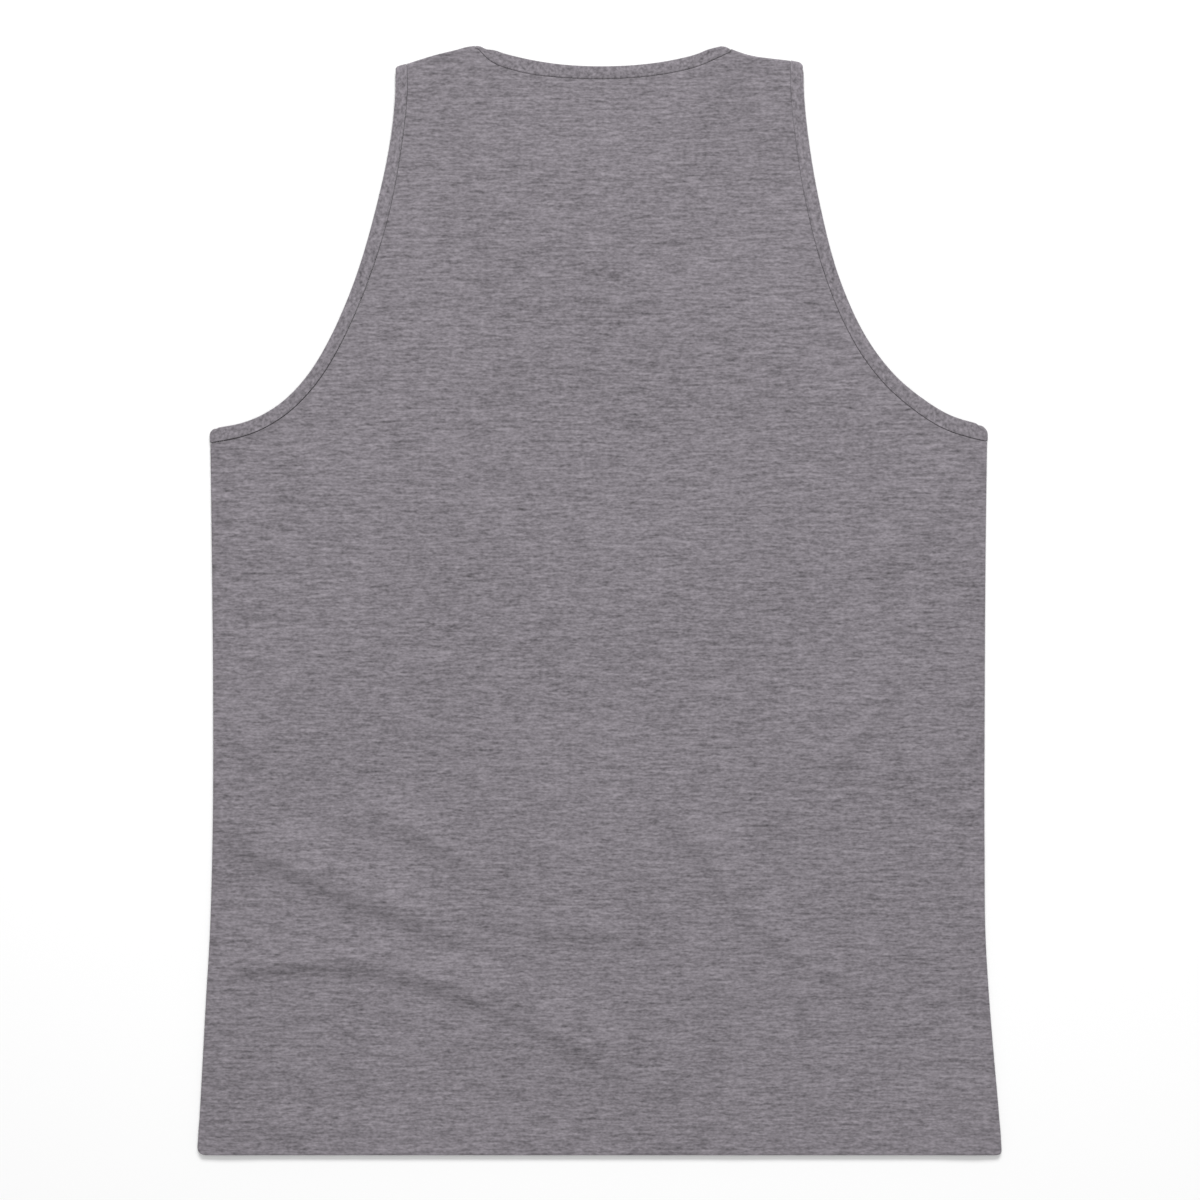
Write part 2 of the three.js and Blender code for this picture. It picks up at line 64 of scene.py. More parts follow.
sideOutline = {
    "up": [0, 24, 62, 101, 141, 200, 298, 396, 480],
    "left": [263.4, 262.0, 259.9, 257.8, 255.4, 253.6, 253.1, 254.0, 255.1],
    "right": [262.7, 261.2, 257.9, 254.7, 252.3, 251.6, 251.7, 252.3, 253.4],
}
shoulderOutline = {
    "out": [66, 73, 80, 86, 94, 102, 110, 118, 126, 136],
    "left": [722.0, 723.9, 725.3, 724.7, 722.6, 720.7, 718.6, 716.1, 713.5, 710.4],
    "right": [724.6, 725.8, 725.9, 723.1, 720.2, 718.3, 717.2, 716.3, 715.2, 713.0],
}
armhole = {                  # free edge of the binding, from the underarm up the strap
    "underarmUp": {"left": 474.8, "right": 477.0},
    "up": [478.4, 483.5, 493.3, 509.8, 536.0, 575.4, 624.4, 663.6, 693.0],
    "left": [234.6, 221.5, 206.6, 191.2, 175.5, 159.1, 145.1, 137.0, 133.9],
    "right": [245.5, 229.2, 212.6, 192.8, 173.2, 155.7, 143.1, 136.4, 133.4],
    "strapEnd": {"left": 133.8, "right": 133.0},
    "frontCut": 12,          # how much deeper the front is cut at mid height
    "frontCutPower": 0.6,    # less than 1 gives a fuller curve than a half sine
}
neckline = {                 # free edge of the binding, left to right
    "end": {"left": 73.6, "right": 78.6},
    "backX": [-68.6, -62.8, -47, -24, 0, 24, 47, 62.8, 70.6],
    "backUp": [722.0, 720.1, 716.5, 713.1, 712.0, 712.9, 715.9, 719.5, 722.6],
    "frontX": [-71.5, -64, -48, -26, 0, 26, 49, 66, 75],
    "frontUp": [696, 668, 643, 629, 624.5, 629, 643, 668, 696],
}
sink = {"depth": 1.85, "halfWidth": 70, "reach": 100, "ease": 34}

# Ridges of the upper layer: crest line in three (x, up) points, height, and how far the
# cloth slopes away on the shoulder side ("above") and on the hem side ("below").
creases = [
    {"line": [(-262, 217), (-160, 172), (-76, 137)], "height": 4.0, "above": 28, "below": 14},
    {"line": [(-166, 236), (-120, 211), (-56, 176)], "height": 1.9, "above": 17, "below": 10},
    {"line": [(-290, 100), (-115, 116), (114, -17)], "height": 2.8, "above": 32, "below": 11},
    {"line": [(-56, 146), (-4, 147), (50, 134)], "height": 2.0, "above": 17, "below": 10},
    {"line": [(-226, 210), (-192, 208), (-158, 202)], "height": 1.0, "above": 11, "below": 12},
    {"line": [(42, 235), (78, 185), (117, 134)], "height": 2.9, "above": 26, "below": 12},
    {"line": [(94, 160), (134, 131), (184, 100)], "height": 1.9, "above": 18, "below": 11},
    {"line": [(236, 464), (209, 412), (178, 356)], "height": 3.3, "above": 24, "below": 8.5},
    {"line": [(202, 330), (180, 289), (152, 244)], "height": 3.0, "above": 21, "below": 8.5},
    {"line": [(-208, 474), (-203, 420), (-210, 362)], "height": 1.4, "above": 16, "below": 11},
    {"line": [(-262, 22), (-205, 19), (-104, 18)], "height": 0.9, "above": 14, "below": 11},
]
creaseSteps = 14             # straight steps that a crest line is read in
# Parts of its length over which a ridge fades in and out, and how far from a fold it is whole.
creaseFade = {"start": 0.26, "end": 0.32, "side": 20, "shoulder": 12}

# Smaller rumples of both layers, in the same terms; those of the front rise off the surface.
rumples = {
    "back": [
        {"line": [(-186, 562), (-158, 536), (-150, 506)], "height": 0.6, "above": 12, "below": 8},
        {"line": [(-268, 234), (-240, 218), (-212, 198)], "height": 1.0, "above": 12, "below": 8},
        {"line": [(252, 368), (206, 346), (152, 318)], "height": 0.8, "above": 14, "below": 9},
        {"line": [(-204, 498), (-186, 486), (-180, 462)], "height": 0.7, "above": 9, "below": 8},
        {"line": [(128, 544), (150, 537), (172, 524)], "height": 0.8, "above": 14, "below": 9},
        {"line": [(126, 502), (146, 493), (166, 482)], "height": 0.7, "above": 12, "below": 9},
        {"line": [(206, 500), (188, 490), (164, 470)], "height": 0.7, "above": 12, "below": 9},
        {"line": [(-176, 446), (-152, 441), (-128, 446)], "height": 0.6, "above": 11, "below": 9},
        {"line": [(-150, 520), (-128, 512), (-112, 490)], "height": 0.5, "above": 12, "below": 10},
        {"line": [(-90, 470), (-60, 450), (-10, 452)], "height": 0.5, "above": 16, "below": 12},
        {"line": [(-40, 424), (-34, 408), (-14, 384)], "height": 0.5, "above": 12, "below": 10},
        {"line": [(52, 112), (78, 108), (104, 96)], "height": 0.7, "above": 14, "below": 10},
        {"line": [(190, 92), (212, 85), (234, 84)], "height": 0.6, "above": 14, "below": 10},
        {"line": [(-230, 62), (-180, 52), (-128, 56)], "height": 0.6, "above": 15, "below": 11},
        {"line": [(60, 708), (82, 706), (104, 694)], "height": 0.6, "above": 10, "below": 9},
        {"line": [(92, 690), (112, 682), (126, 668)], "height": 0.5, "above": 10, "below": 9},
        {"line": [(-120, 642), (-106, 638), (-88, 640)], "height": 0.5, "above": 12, "below": 9},
        {"line": [(-236, 372), (-196, 358), (-150, 360)], "height": 0.5, "above": 18, "below": 13},
    ],
    "front": [
        {"line": [(-230, 170), (-120, 150), (-20, 176)], "height": 0.6, "above": 26, "below": 14},
        {"line": [(20, 96), (110, 120), (210, 104)], "height": 0.6, "above": 24, "below": 13},
        {"line": [(-210, 360), (-150, 330), (-90, 340)], "height": 0.45, "above": 22, "below": 14},
        {"line": [(60, 300), (130, 284), (200, 300)], "height": 0.5, "above": 26, "below": 14},
        {"line": [(-190, 470), (-150, 440), (-120, 400)], "height": 0.45, "above": 18, "below": 12},
        {"line": [(200, 470), (160, 436), (140, 396)], "height": 0.45, "above": 18, "below": 12},
    ],
}

# The upper layer stands highest a little inside the side folds: how high, by place up each side.
sidePuff = {
    "crestIn": 15,
    "endIn": 46,
    "fadeRate": 1.5,         # 1 would fade it all the way from the fold to its end
    "pastUnderarm": 20,      # how far above the underarm it ends, and over what length it fades
    "fadeUp": 50,
    "up": [0, 60, 140, 230, 300, 380, 440, 480],
    "left": [0.3, 0.9, 0.7, 0.9, 1.5, 1.4, 0.8, 0.3],
    "right": [0.4, 1.4, 1.2, 0.9, 0.7, 1.0, 1.3, 0.5],
}


# Nothing below 0, one above 1, and between them three squares less two cubes.
def ease(value):
    value = np.clip(value, 0, 1)
    return value * value * (3 - 2 * value)


# A table's column at a key: a cubic through the rows, each row's slope taken from its neighbours.
def tableValue(table, key, column, at):
    keys = np.array(table[key], float)
    values = np.array(table[column], float)
    slopes = np.gradient(values, keys)
    i = np.clip(np.searchsorted(keys, at) - 1, 0, len(keys) - 2)
    span = keys[i + 1] - keys[i]
    t = np.clip((at - keys[i]) / span, 0, 1)
    rise = 3 * t**2 - 2 * t**3
    bend = (t**3 - 2 * t**2 + t) * slopes[i] + (t**3 - t**2) * slopes[i + 1]
    return values[i] * (1 - rise) + values[i + 1] * rise + bend * span


# Distance from the middle to the axis of a side fold: the outline less the inset, drawn in at the
# hem by a quarter circle.
def sideAxis(side, up):
    radius = garment["hemCorner"][side]
    below = np.clip(radius - up, 0, radius)
    corner = radius - np.sqrt(radius**2 - below**2)
    return tableValue(sideOutline, "up", side, up) - garment["foldInset"] - corner


# Height of the axis of a shoulder fold at a distance from the middle, and its slope over 1 mm.
def shoulderAxis(side, out):
    return tableValue(shoulderOutline, "out", side, out) - garment["foldInset"]


def shoulderSlope(side, out):
    return shoulderAxis(side, out + 0.5) - shoulderAxis(side, out - 0.5)


# Thickness of a panel: the doubled hem eases into the single wall above it.
def wallAt(up):
    hem = ease((garment["hemDepth"] - up) / garment["hemEase"] + 0.5)
    return garment["wall"] + (garment["hemWall"] - garment["wall"]) * hem


# Height that one ridge adds: a raised cosine of the distance to its crest line, faded at both ends.
def creaseHeight(crease, x, up):
    start, through, end = np.array(crease["line"], float)
    t = np.linspace(0, 1, creaseSteps + 1)[:, None]
    control = 2 * through - (start + end) / 2
    line = (1 - t) ** 2 * start + 2 * t * (1 - t) * control + t**2 * end
    reach = max(crease["above"], crease["below"])
    low, high = line.min(axis=0) - reach, line.max(axis=0) + reach
    near = (x > low[0]) & (x < high[0]) & (up > low[1]) & (up < high[1])
    px, py = x[near], up[near]
    best = np.full(px.shape, np.inf)
    along = np.zeros(px.shape)
    above = np.zeros(px.shape, bool)
    for i in range(creaseSteps):
        dx, dy = line[i + 1] - line[i]
        length = np.hypot(dx, dy)
        share = np.clip(((px - line[i, 0]) * dx + (py - line[i, 1]) * dy) / length**2, 0, 1)
        distance = np.hypot(px - line[i, 0] - share * dx, py - line[i, 1] - share * dy)
        closer = distance < best
        offset = ((py - line[i, 1]) * dx - (px - line[i, 0]) * dy) * np.sign(dx)
        best = np.where(closer, distance, best)
        along = np.where(closer, (i + share) / creaseSteps, along)
        above = np.where(closer, offset > 0, above)
    slope = np.where(above, crease["above"], crease["below"])
    across = 0.5 + 0.5 * np.cos(np.pi * np.clip(best / slope, 0, 1))
    height = np.zeros(x.shape)
    fade = ease(along / creaseFade["start"]) * ease((1 - along) / creaseFade["end"])
    height[near] = crease["height"] * across * fade
    return height


# A function of the side, taken on the left where x is negative and on the right elsewhere.
def choose(x, function, *terms):
    return np.where(x < 0, function("left", *terms), function("right", *terms))


# A soft swell beside each side fold: up to its crest at "crestIn", down again to "endIn".
def puffHeight(x, up):
    low = np.clip(up, 0, sidePuff["up"][-1])
    inside = choose(x, sideAxis, low) - np.abs(x)
    falling = (sidePuff["endIn"] - inside) / sidePuff["endIn"] * sidePuff["fadeRate"]
    swell = ease(inside / sidePuff["crestIn"]) * ease(falling)
    size = np.where(x < 0, *(tableValue(sidePuff, "up", side, low) for side in ("left", "right")))
    top = armhole["underarmUp"]["left"] + sidePuff["pastUnderarm"]
    return size * swell * ease((top - up) / sidePuff["fadeUp"])


# Rise of a layer over its flat level: its ridges, faded to nothing at the folds, less the sinking
# of the back inside the scoop of the front neck.
def relief(layer, x, up):
    out = np.abs(x)
    sideFold = choose(x, sideAxis, np.minimum(up, sideOutline["up"][-1]))
    shoulderFold = choose(x, shoulderAxis, np.maximum(out, sink["halfWidth"]))
    fromSide = ease((sideFold - out) / creaseFade["side"])
    fromShoulder = ease((shoulderFold - up) / creaseFade["shoulder"])
    fade = fromSide * np.where(out > sink["halfWidth"], fromShoulder, 1)
    folds = rumples[layer] + (creases if layer == "back" else [])
    height = fade * sum(creaseHeight(fold, x, up) for fold in folds)
    if layer == "front":
        return height
    height = height + puffHeight(x, up)
    inScoop = 1 - np.hypot(x / sink["halfWidth"], (garment["length"] - up) / sink["reach"])
    return height - sink["depth"] * ease(inScoop * sink["halfWidth"] / sink["ease"])


# Middle of the wall and outward direction at plan points, on the back (facing up) or the front.
def layerPoints(layer, x, up, wall):
    step = 0.6               # to either side, for the slopes
    slopeX = (relief(layer, x + step, up) - relief(layer, x - step, up)) / (2 * step)
    slopeUp = (relief(layer, x, up + step) - relief(layer, x, up - step)) / (2 * step)
    level = garment["layerRise"] if layer == "back" else 0
    middle = np.stack([x, up, level + wall / 2 + relief(layer, x, up)], axis=-1)
    facing = np.stack([-slopeX, -slopeUp, np.ones_like(x)], axis=-1)
    facing /= np.linalg.norm(facing, axis=-1, keepdims=True)
    return middle, facing * (1 if layer == "back" else -1)


# The same on the quarter roll of a fold: angle 90 is flat, 0 stands upright at the seam.
def rollPoints(layer, x, up, wall, outX, outUp, angle):
    turn = 1 if layer == "back" else -1
    x, outX, outUp, angle = np.broadcast_arrays(x, outX, outUp, angle)
    halfGap = garment["sideSeamGap"] / 2
    rise = halfGap + (foldRadius - halfGap) * np.sin(angle)
    reach = foldRadius * np.cos(angle)
    middle = np.stack([x + outX * reach, up + outUp * reach, wall / 2 + foldRadius + turn * rise], -1)
    facing = np.stack([outX * np.cos(angle), outUp * np.cos(angle), turn * np.sin(angle)], -1)
    return middle, facing


# A smooth plan curve through points (centripetal Catmull-Rom), read at shares of its length.
def curveThrough(points, shares):
    stepsEach = 60
    reach = 0.2
    points = np.array(points, float)
    points = np.vstack([2 * points[0] - points[1], points, 2 * points[-1] - points[-2]])
    pieces = []
    t = np.linspace(0, 1, stepsEach, endpoint=False)[:, None]
    for a, b, c, d in zip(points[:-3], points[1:-2], points[2:-1], points[3:]):
        before, span, after = (np.sqrt(np.linalg.norm(q - p)) for p, q in ((a, b), (b, c), (c, d)))
        leave = ((b - a) / before - (c - a) / (before + span) + (c - b) / span) * span
        arrive = ((c - b) / span - (d - b) / (span + after) + (d - c) / after) * span
        rise = 3 * t**2 - 2 * t**3
        pieces.append(b * (1 - rise) + c * rise + leave * (t**3 - 2 * t**2 + t) + arrive * (t**3 - t**2))
    route = np.vstack([*pieces, points[-2]])
    length = np.concatenate([[0], np.cumsum(np.linalg.norm(np.diff(route, axis=0), axis=1))])

    def read(place):
        return np.stack([np.interp(place, length, route[:, k]) for k in (0, 1)], axis=1)

    here = shares * length[-1]
    tangent = read(np.minimum(here + reach, length[-1])) - read(np.maximum(here - reach, 0))
    return read(here), tangent / np.linalg.norm(tangent, axis=1, keepdims=True), length[-1]


binding = {
    "wall": 1.4,
    "usualWidth": 8,
    "crown": 0.12,           # how much the folded strip puffs up in its middle
    "crownPoints": 6,
    "edgeRound": 0.62,
    "seamRound": 0.5,        # usual radius that its edge at the seam rolls down with
    "seamHalf": 0.05,        # half its thickness left there
    "panelRoll": 0.3,        # the panel's edge there, as a share of the binding's
    # Length over which its width turns to lie along a fold, and the distance from the end of its
    # free edge to where the fold's direction is read.
    "swing": {"neck": 13, "left": 20, "right": 20},
    "foldRead": {"neck": 5, "strap": 4},
    # Rounding of its free edge where it goes over a fold, and how far the fold is tucked in there.
    "cornerFullness": 0.97,
    "corner": {
        "neckLeft": {"round": 0.01, "tuck": 1.45, "tuckReach": 6},
        "neckRight": {"round": 0.01, "tuck": 1.1, "tuckReach": 4},
        "leftStrap": {"round": 2.2, "tuck": 0, "tuckReach": 1},
        "rightStrap": {"round": 3.6, "tuck": 0, "tuckReach": 1},
        "leftUnderarm": {"round": 4.2, "tuck": 0, "tuckReach": 1},
        "rightUnderarm": {"round": 6.2, "tuck": 0, "tuckReach": 1},
    },
    "armholeStations": 84,
    "crowding": 0.45,        # how much closer together they stand at the underarm
    "neckStations": {"back": 72, "front": 96},
    "turnSteps": 10,
}


# Width of each binding, of the ditch beside its seam and of the roll of its edge at the ditch, the
# neck's from left to right and an armhole's from the shoulder down.
bandSizes = {
    "share": [0, 0.17, 0.33, 0.5, 0.67, 0.83, 1],
    "neckWidth": [8.0, 9.3, 8.6, 8.3, 8.2, 8.1, 7.6],
    "leftWidth": [8.0, 7.8, 9.2, 8.4, 7.9, 7.9, 9.1],
    "rightWidth": [8.8, 8.5, 8.8, 8.3, 8.6, 9.3, 10.3],
    "neckDitch": [0.08, 0.1, 0.1, 0.1, 0.1, 0.1, 0.08],
    "leftDitch": [0.06, 0.2, 0.08, 0.24, 0.32, 0.38, 0.42],
    "rightDitch": [0.04, 0.04, 0.08, 0.12, 0.16, 0.2, 0.28],
    "neckRoll": [0.6, 1.2, 1.3, 1.5, 1.5, 1.3, 0.6],
    "leftRoll": [0.5, 0.5, 0.5, 0.5, 0.5, 0.5, 0.5],
    "rightRoll": [0.14, 0.14, 0.2, 0.4, 0.5, 0.5, 0.5],
}


# Stations of a binding: its free edge, its stitched edge and the panel's edge beside it.
def bindingStations(band, points, shares, startDirection, endDirection):
    edge, tangent, length = curveThrough(points, shares)
    across = np.stack([tangent[:, 1], -tangent[:, 0]], axis=1)
    for direction, share in ((startDirection, shares), (endDirection, 1 - shares)):
        swing = ease(1 - share * length / binding["swing"][band])[:, None]
        across = across + (np.array(direction) - across) * swing
    across /= np.linalg.norm(across, axis=1, keepdims=True)
    width = tableValue(bandSizes, "share", band + "Width", shares)
    ditch = tableValue(bandSizes, "share", band + "Ditch", shares)
    roll = tableValue(bandSizes, "share", band + "Roll", shares)
    seam = edge + across * width[:, None]
    panelEdge = seam + across * ditch[:, None]
    return {"edge": edge, "seam": seam, "panelEdge": panelEdge, "along": shares * length, "roll": roll}


# Directions along a shoulder fold, away from the neck, and square to it out of the garment.
def shoulderDirections(side, out):
    sign = -1 if side == "left" else 1
    slope = shoulderSlope(side, out)
    size = np.hypot(1, slope)
    return np.array([sign, slope]) / size, np.array([-sign * slope, 1]) / size


# The neck's stations run from the left shoulder fold to the right one.
def neckStations(layer):
    left, right = neckline["end"]["left"], neckline["end"]["right"]
    middle = zip(neckline[layer + "X"], neckline[layer + "Up"])
    points = [(-left, shoulderAxis("left", left)), *middle, (right, shoulderAxis("right", right))]
    read = binding["foldRead"]["neck"]
    along = [shoulderDirections(side, neckline["end"][side] + read)[0] for side in ("left", "right")]
    shares = np.linspace(0, 1, binding["neckStations"][layer] + 1)
    return bindingStations("neck", points, shares, *along)


# An armhole's stations run from the side fold up the strap. They are worked out on the right-hand
# side from the shoulder down, then turned round and mirrored to their own side. The front is cut
# deeper by a power of a half sine of the height.
def armholeStations(layer, side):
    sign = -1 if side == "left" else 1
    low, strapEnd = armhole["underarmUp"][side], armhole["strapEnd"][side]
    points = [(sideAxis(side, low), low)]
    for up, out in zip(armhole["up"], armhole[side]):
        if layer == "front":
            rise = np.sin(np.pi * (up - low) / (garment["length"] - low))
            out = out - armhole["frontCut"] * rise ** armhole["frontCutPower"]
        points.append((out, up))
    points.append((strapEnd, shoulderAxis(side, strapEnd)))
    shoulder = np.array([-1, -shoulderSlope(side, strapEnd - binding["foldRead"]["strap"])])
    even = np.linspace(0, 1, binding["armholeStations"] + 1)
    shares = 1 - (1 - even) * (1 - binding["crowding"] * even)
    stations = bindingStations(side, points[::-1], shares, shoulder / np.linalg.norm(shoulder), (0, -1))
    for key in ("edge", "seam", "panelEdge"):
        stations[key] = stations[key][::-1] * (sign, 1)
    stations["along"] = stations["along"][-1] - stations["along"][::-1]
    stations["roll"] = stations["roll"][::-1]
    return stations


# A piece at the frame's origin from points in garment millimetres.
def makeMesh(name, points, faces, uv=None):
    points = points * mm
    points[:, 1] -= garment["length"] / 2 * mm
    mesh = bpy.data.meshes.new(name)
    mesh.from_pydata(points, [], faces)
    if uv is not None:
        corners = np.empty(len(mesh.loops), int)
        mesh.loops.foreach_get("vertex_index", corners)
        mesh.uv_layers.new(name="strip").data.foreach_set("uv", (uv[corners] * mm).ravel())
    mesh.shade_smooth()
    piece = bpy.data.objects.new(name, mesh)
    bpy.context.collection.objects.link(piece)
    return piece


# Half thickness near a cut edge, as a share: a quarter ellipse over the softened width.
def cutShare(distance, softness):
    near = np.clip(distance / softness, 0, 1)
    return np.maximum(np.sqrt(1 - (1 - near) ** 2), garment["thinnestEdge"])


# A closed sheet: two skins, each half a wall from the middles, and a rim all round.
def closedSheet(name, middle, facing, half, up):
    rows, columns = half.shape
    skins = [(middle + facing * half[..., None] * sign * up).reshape(-1, 3) for sign in (1, -1)]
    index = np.arange(rows * columns).reshape(rows, columns)
    top = np.stack([index[:-1, :-1], index[:-1, 1:], index[1:, 1:], index[1:, :-1]], -1).reshape(-1, 4)
    rim = np.concatenate([index[0, :-1], index[:-1, -1], index[-1, :0:-1], index[:0:-1, 0]])
    after = np.roll(rim, -1)
    under = rows * columns
    walls = np.stack([rim, rim + under, after + under, after], axis=-1)
    faces = np.vstack([top, top[:, ::-1] + under, walls])
    return makeMesh(name, np.vstack(skins), faces.tolist())


# A panel's grid of plan points: rows run across between the side folds or armhole seams, columns
# run up to the shoulder folds and the neck seam, and narrow strips carry the folds and cut edges.
def panel(name, layer, neck, armholes):
    strip = len(foldAngles) - 1
    seams = {side: armholes[side]["panelEdge"] for side in ("left", "right")}
    seamUp = seams["right"][0, 1]
    evenUps = np.linspace(hemSteps[-1], seamUp, int(seamUp / garment["cellSize"]))
    sideUps = np.concatenate([hemSteps, evenUps[1:]])
    sideRows = len(sideUps)
    bounds = {}
    for side, sign in (("left", -1), ("right", 1)):
        ups = sideUps * seams[side][0, 1] / seamUp
        sidePart = np.stack([sign * sideAxis(side, ups), ups], axis=1)
        first = seams[side][0] + (0, seamStart["up"])
        bounds[side] = np.vstack([sidePart, first, seams[side][1:]])
    left, right = bounds["left"], bounds["right"]

    neckSeam = neck["panelEdge"]
    shoulderPlaces = garment["shoulderCells"] + 1
    parts, out = [], []
    for side, begin, finish in (
        ("left", left[-1, 0] + foldRadius, neckSeam[0, 0]),
        ("right", neckSeam[-1, 0], right[-1, 0] - foldRadius),
    ):
        x = np.linspace(begin, finish, shoulderPlaces)
        parts.append(np.stack([x, shoulderAxis(side, np.abs(x))], axis=1))
        out.append(np.array([shoulderDirections(side, abs(place))[1] for place in x]))
    inner = neckSeam.copy()
    inner[0] += (seamStart["in"], -seamStart["down"])
    inner[-1] -= (seamStart["in"], seamStart["down"])
    top = np.vstack([parts[0], inner, parts[1]])
    folded = np.ones(len(top), bool)
    folded[shoulderPlaces:-shoulderPlaces] = False
    outward = np.zeros_like(top)
    outward[folded] = np.vstack(out)

    # Main rows: evenly spread columns low down, standing under their places at the neck higher up.
    sideFolded = np.arange(len(left)) < sideRows
    inset = np.where(sideFolded, 0, foldRadius)
    begin, finish = (left[:, 0] + inset)[:, None], (right[:, 0] - inset)[:, None]
    even = begin + (finish - begin) * np.linspace(0, 1, len(top))
    leftShare = np.clip((neckSeam[0, 0] - top[:, 0]) / (neckSeam[0, 0] - top[0, 0]), 0, 1)
    rightShare = np.clip((top[:, 0] - neckSeam[-1, 0]) / (top[-1, 0] - neckSeam[-1, 0]), 0, 1)
    placed = top[:, 0] + leftShare * (begin - top[0, 0]) + rightShare * (finish - top[-1, 0])
    v = (left[:, 1] / left[-1, 1])[:, None]
    x = even + (placed - even) * ease(v / garment["spreadBelow"])
    share = (x - begin) / (finish - begin)
    chord = left[-1, 1] + (right[-1, 1] - left[-1, 1]) * share
    edgeUp = top[:, 1] - np.where(folded, 0, foldRadius)
    up = left[:, 1:] + (right[:, 1:] - left[:, 1:]) * share + v ** garment["topBend"] * (edgeUp - chord)
    wall = np.repeat(wallAt(left[:, 1])[:, None], len(top), axis=1)
    middle, facing = layerPoints(layer, x, up, wall)
    hemShare = cutShare(left[:, 1], garment["hemWall"] / 2)[:, None]
    half = wall / 2 * hemShare

    # Strips down both sides: the roll of the side fold, then the softened edge at the armhole.
    sideStrips = []
    for side, sign, bound in (("left", -1, left), ("right", 1, right)):
        columns = []
        roll = np.concatenate([np.ones(sideRows), armholes[side]["roll"]]) * binding["panelRoll"]
        for angle, cut in zip(foldAngles[:strip], cutSteps[:strip]):
            wallHere = wallAt(bound[:, 1])
            rolled = rollPoints(layer, bound[:, 0], bound[:, 1], wallHere, sign, 0, angle)
            flat = layerPoints(layer, bound[:, 0] - sign * cut, bound[:, 1], wallHere)
            pick = sideFolded[:, None]
            share = np.where(sideFolded, hemShare[:, 0], cutShare(cut, roll))
            columns.append([np.where(pick, rolled[k], flat[k]) for k in (0, 1)] + [wallHere / 2 * share])
        sideStrips.append(columns)
    columns = sideStrips[0] + [[middle, facing, half]] + sideStrips[1][::-1]
    rows = len(left)
    middle = np.concatenate([column[0].reshape(rows, -1, 3) for column in columns], axis=1)
    facing = np.concatenate([column[1].reshape(rows, -1, 3) for column in columns], axis=1)
    half = np.concatenate([column[2].reshape(rows, -1) for column in columns], axis=1)

    # Rows over the top: the roll of the shoulders, and the softened edge at the neck.
    cutIn = np.stack([cutSteps[:strip], np.zeros(strip)], axis=1)
    allTop = np.vstack([left[-1] + cutIn, top, (right[-1] - cutIn)[::-1]])
    allFolded = np.r_[np.ones(strip, bool), folded, np.ones(strip, bool)]
    sideOf = allTop[:, 0] < 0
    axisUp = np.where(sideOf, shoulderAxis("left", -allTop[:, 0]), shoulderAxis("right", allTop[:, 0]))
    allOut = np.array([shoulderDirections("left" if p < 0 else "right", abs(p))[1] for p in allTop[:, 0]])
    strapRoll = {side: armholes[side]["roll"][-1] * binding["panelRoll"] for side in ("left", "right")}
    strapShare = np.ones(len(allTop))
    strapShare[:strip] = cutShare(cutSteps[:strip], strapRoll["left"])
    strapShare[-strip:] = cutShare(cutSteps[:strip], strapRoll["right"])[::-1]
    neckRoll = np.ones(len(allTop))
    neckRoll[~allFolded] = neck["roll"] * binding["panelRoll"]
    rowsOver = []
    for angle, cut in list(zip(foldAngles, cutSteps))[strip - 1 :: -1]:
        wallHere = np.full(len(allTop), float(garment["wall"]))
        rolled = rollPoints(layer, allTop[:, 0], axisUp, wallHere, allOut[:, 0], allOut[:, 1], angle)
        flat = layerPoints(layer, allTop[:, 0], allTop[:, 1] - cut, wallHere)
        pick = allFolded[:, None]
        share = np.where(allFolded, strapShare, cutShare(cut, neckRoll))
        rowsOver.append([np.where(pick, rolled[k], flat[k]) for k in (0, 1)] + [wallHere / 2 * share])
    middle = np.concatenate([middle, np.stack([row[0] for row in rowsOver])])
    facing = np.concatenate([facing, np.stack([row[1] for row in rowsOver])])
    half = np.concatenate([half, np.stack([row[2] for row in rowsOver])])
    return closedSheet(name, middle, facing, half, 1 if layer == "back" else -1)


# Section of a folded strip: a round free edge, a low crown, and a seam edge that rolls down.
def bindingSection():
    halfWall, width = binding["wall"] / 2, binding["usualWidth"]
    turn = np.radians([-60, -30, 0, 30, 60])
    fold = np.stack([binding["edgeRound"] * (1 - np.cos(turn)), halfWall * np.sin(turn)], axis=1)
    inner = np.linspace(binding["edgeRound"], width - binding["seamRound"], binding["crownPoints"])
    crown = binding["crown"] * np.sin(np.pi * (inner - inner[0]) / (inner[-1] - inner[0]))
    back = np.radians([30, 65, 90])
    seamX = width - binding["seamRound"] * (1 - np.sin(back))
    seamTop = np.stack([seamX, halfWall * np.cos(back) + binding["seamHalf"]], axis=1)
    topSide = np.stack([inner, halfWall + crown], axis=1)
    underSide = np.stack([inner, np.full(len(inner), -halfWall)], axis=1)
    seamUnder = seamTop * (1, -1)
    return np.vstack([fold, topSide, seamTop, seamUnder[::-1], underSide[::-1]])


# How far a point of the strip draws in from a fold to round its corner: a quarter circle of the
# distance from the free edge, fading along the strip.
def cornerPull(corner, fromEdge, fromFold):
    radius = corner["round"]
    near = binding["cornerFullness"] * np.clip(radius - fromEdge, 0, radius)
    return (radius - np.sqrt(radius**2 - near**2)) * np.clip(1 - fromFold / radius, 0, 1)


